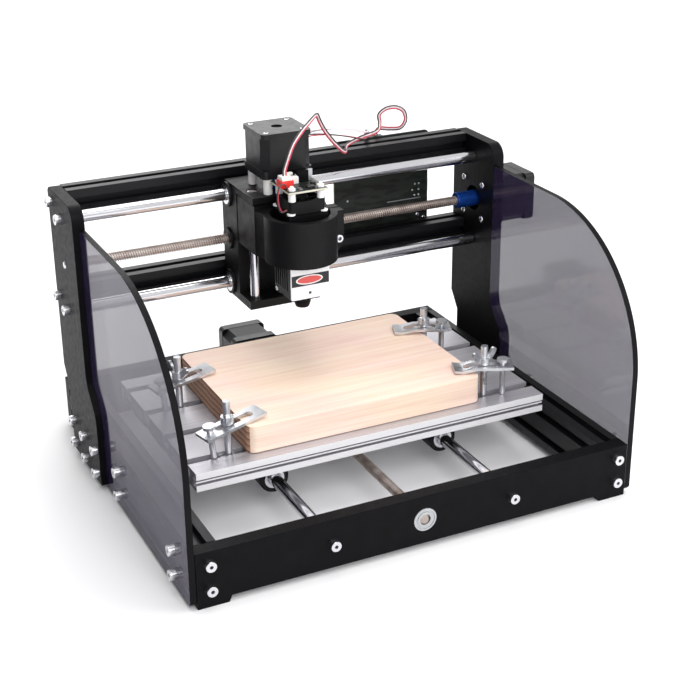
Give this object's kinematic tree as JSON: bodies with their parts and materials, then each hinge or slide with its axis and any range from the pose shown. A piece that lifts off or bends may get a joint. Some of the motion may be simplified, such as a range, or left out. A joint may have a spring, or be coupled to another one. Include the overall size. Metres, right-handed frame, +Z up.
{
  "type": "desktop laser cutter",
  "caption": "Open gantry laser cutter: slotted bed on rods, laser head on a Z slide, smoked side guards, clamped wood board, rear controller.",
  "frame": {"origin": "bottom centre of the machine's bounding box, on the surface that its feet stand on", "axes": "+X to the machine's right, towards the gantry motor; +Y to the rear; +Z up"},
  "size_m": [0.4208, 0.3644, 0.2867],
  "materials": {
    "black_anodised": "satin black anodised",
    "chromed_steel": "polished",
    "screw_steel": "bright threaded steel",
    "coupler_blue": "satin blue anodised",
    "motor_black": "semi-gloss black",
    "smoked_acrylic": "clear gloss, smoked",
    "silver_aluminium": "satin silver anodised",
    "black_plastic": "moulded matte black",
    "lens_black": "black anodised, grooved",
    "white_nylon": "white nylon",
    "zinc_steel": "bright zinc plated",
    "board_wood": "sawn pale wood",
    "circuit_board": "dark solder mask",
    "red_plastic": "gloss red",
    "cable_sheath": "soft insulated ribbon"
  },
  "bodies": {
    "frame": {"front_plate": "black_anodised", "rear_plate": "black_anodised", "front_screw_bearing": "chromed_steel", "left_side_rail": "black_anodised", "right_side_rail": "black_anodised", "left_bed_rod": "chromed_steel", "right_bed_rod": "chromed_steel", "left_upright": "black_anodised", "right_upright": "black_anodised", "x_screw_bearing": "chromed_steel", "left_guard": "smoked_acrylic", "right_guard": "smoked_acrylic", "top_beam": "black_anodised", "lower_beam": "black_anodised", "upper_gantry_rod": "chromed_steel", "lower_gantry_rod": "chromed_steel", "x_motor": "motor_black", "y_motor": "motor_black", "controller_board": "circuit_board", "controller_cover": "smoked_acrylic"},
    "power_button": {"power_button": "red_plastic"},
    "x_screw": {"x_coupler": "coupler_blue", "x_lead_screw": "screw_steel"},
    "y_screw": {"y_coupler": "coupler_blue", "y_lead_screw": "screw_steel"},
    "bed": {"bed_plate": "silver_aluminium", "front_left_bearing_block": "black_plastic", "front_right_bearing_block": "black_plastic", "rear_left_bearing_block": "black_plastic", "rear_right_bearing_block": "black_plastic", "bed_nut_block": "black_plastic", "work_board": "board_wood", "front_left_clamp": "zinc_steel", "front_left_clamp_stud": "zinc_steel", "rear_left_clamp": "zinc_steel", "rear_left_clamp_stud": "zinc_steel", "front_right_clamp": "zinc_steel", "front_right_clamp_stud": "zinc_steel", "rear_right_clamp": "zinc_steel", "rear_right_clamp_stud": "zinc_steel"},
    "carriage": {"carriage_body": "black_plastic", "left_z_rod": "chromed_steel", "right_z_rod": "chromed_steel", "front_left_standoff": "white_nylon", "front_right_standoff": "white_nylon", "rear_left_standoff": "white_nylon", "rear_right_standoff": "white_nylon", "z_motor": "motor_black", "laser_cable_run": "cable_sheath", "z_motor_cable": "cable_sheath"},
    "z_screw": {"z_coupler": "coupler_blue", "z_lead_screw": "screw_steel"},
    "head": {"laser_holder": "black_plastic", "laser_body": "black_anodised", "laser_face_plate": "silver_aluminium", "fan_frame": "black_plastic", "driver_board": "circuit_board", "laser_cable_lead": "cable_sheath"},
    "focus_ring": {"focus_ring": "lens_black"},
    "fan_rotor": {"fan_rotor": "black_plastic"}
  },
  "joints": [
    {"name": "bed_slide", "type": "slide", "parent": "frame", "child": "bed", "axis": [0, 1, 0], "range_m": [-0.094, 0.086]},
    {"name": "gantry_slide", "type": "slide", "parent": "frame", "child": "carriage", "axis": [1, 0, 0], "range_m": [-0.126, 0.163]},
    {"name": "head_slide", "type": "slide", "parent": "carriage", "child": "head", "axis": [0, 0, 1], "range_m": [-0.044, 0]},
    {"name": "x_screw_turn", "type": "hinge", "parent": "frame", "child": "x_screw", "pos_m": [-0.02015, 0.06285, 0.1767], "axis": [1, 0, 0], "continuous": true},
    {"name": "y_screw_turn", "type": "hinge", "parent": "frame", "child": "y_screw", "pos_m": [-0.02015, -0.01615, 0.025], "axis": [0, 1, 0], "continuous": true},
    {"name": "z_screw_turn", "type": "hinge", "parent": "carriage", "child": "z_screw", "pos_m": [-0.04065, 0.02985, 0.18], "axis": [0, 0, 1], "continuous": true},
    {"name": "fan_turn", "type": "hinge", "parent": "head", "child": "fan_rotor", "pos_m": [-0.04065, -0.01265, 0.225], "axis": [0, 0, 1], "continuous": true},
    {"name": "focus_turn", "type": "hinge", "parent": "head", "child": "focus_ring", "pos_m": [-0.04065, -0.01265, 0.144], "axis": [0, 0, 1], "range_deg": [-180, 180]},
    {"name": "power_press", "type": "slide", "parent": "frame", "child": "power_button", "axis": [-1, 0, 0], "range_m": [0, 0.0025]}
  ],
  "couplings": [
    {"joint": "x_screw_turn", "follows": "gantry_slide", "rad_per_m": -1570.8},
    {"joint": "y_screw_turn", "follows": "bed_slide", "rad_per_m": -1570.8},
    {"joint": "z_screw_turn", "follows": "head_slide", "rad_per_m": -1570.8}
  ]
}
